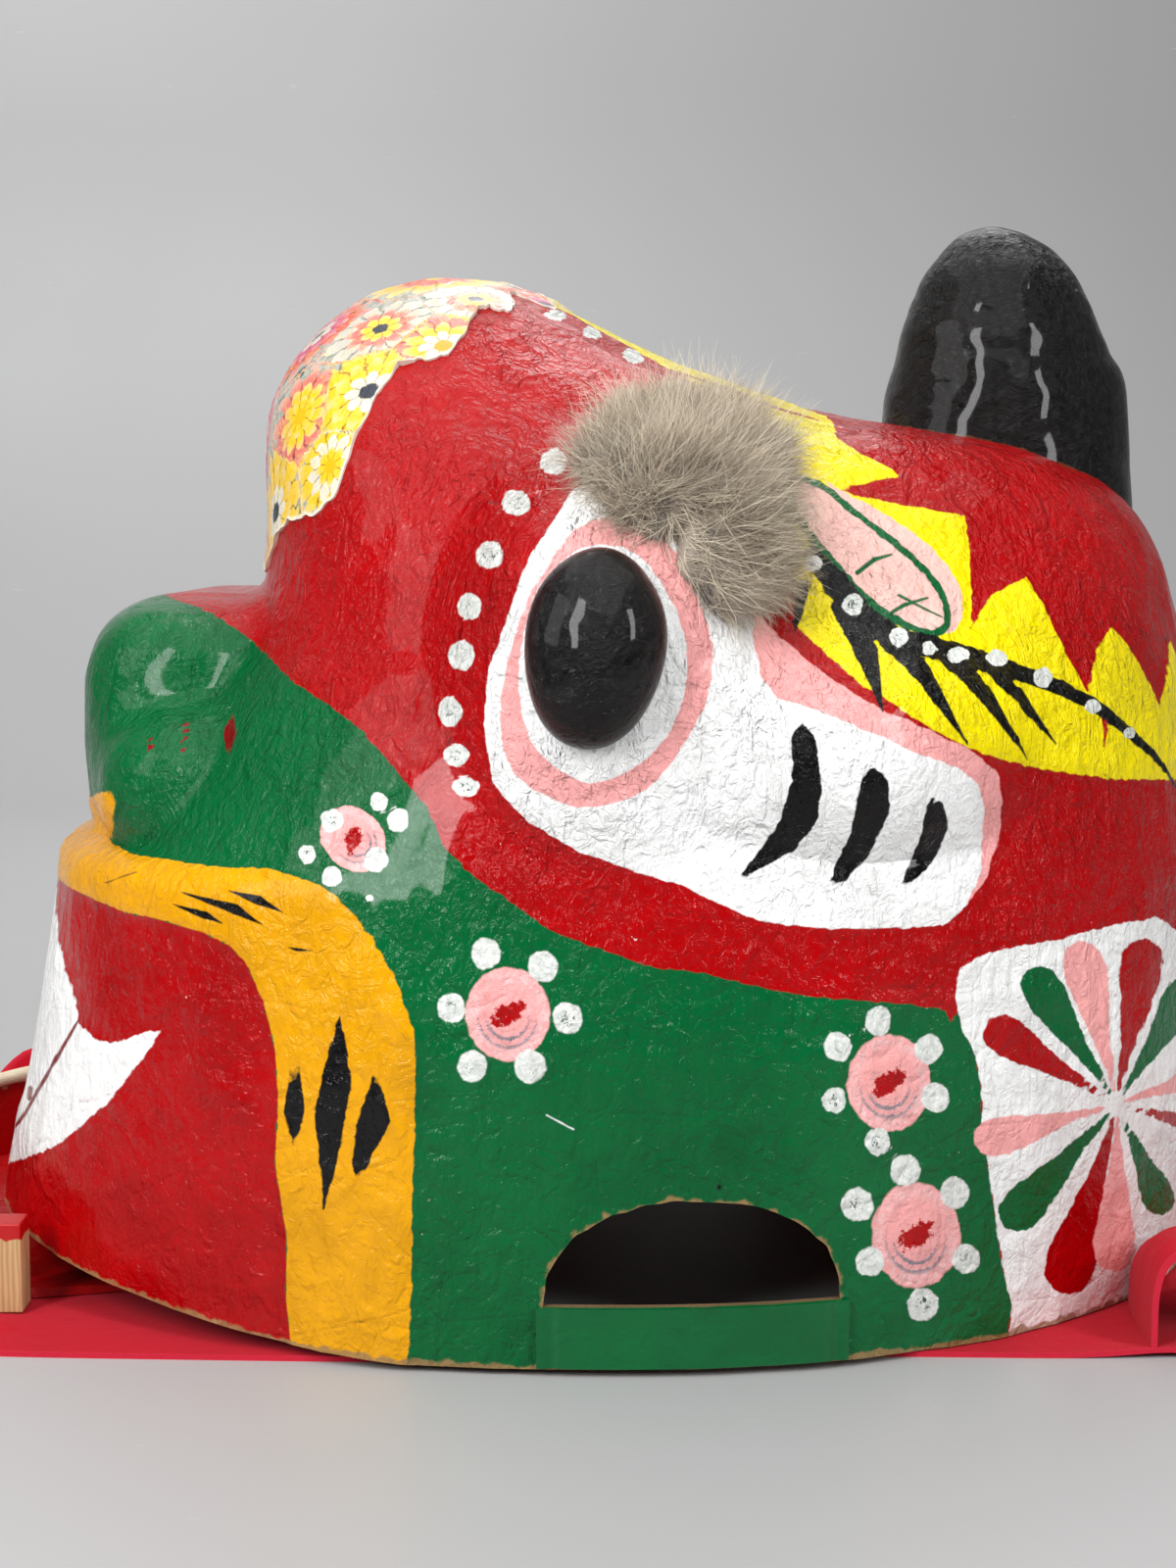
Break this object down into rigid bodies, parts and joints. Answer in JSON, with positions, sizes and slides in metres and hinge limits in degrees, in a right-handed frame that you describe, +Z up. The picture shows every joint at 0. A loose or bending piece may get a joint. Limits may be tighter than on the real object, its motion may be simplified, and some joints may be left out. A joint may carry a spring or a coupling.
{
  "type": "lion dance head",
  "caption": "Hollow papier-mache lion head mask with bulging eyes, fur brows, a horn, a loose lower jaw, hand openings and a felt cape lying round its rim.",
  "frame": {"origin": "on the floor, under the middle of the box round the whole part", "axes": "the face looks along -Y, +Z is up, the lion's left side is +X"},
  "size_m": [0.4084, 0.5976, 0.3905],
  "materials": {
    "papier_mache": "glossy varnished paint in red, green, white, pink, yellow and amber",
    "horn": "glossy black paint",
    "eye_black": "glossy black varnish",
    "fur": "long grey-brown fur on hide",
    "forehead_decal": "printed paper flowers, varnished",
    "jaw_paint": "red paint on papier-mache",
    "jaw_rim": "cream cloth band",
    "wood": "raw wood, red on top",
    "card": "green painted card",
    "body_cloth": "crimson felt"
  },
  "bodies": {
    "root": {"head_shell": "papier_mache", "horn": "horn", "eyeball_left": "eye_black", "eyeball_right": "eye_black", "fur_brow_left": "fur", "fur_brow_right": "fur", "forehead_decal": "forehead_decal", "lower_jaw": "jaw_paint", "jaw_rim": "jaw_rim", "jaw_block_left": "wood", "jaw_block_right": "wood", "opening_sill_left": "card", "opening_sill_right": "card", "body_cloth": "body_cloth", "cape_pleat": "body_cloth"}
  },
  "joints": []
}
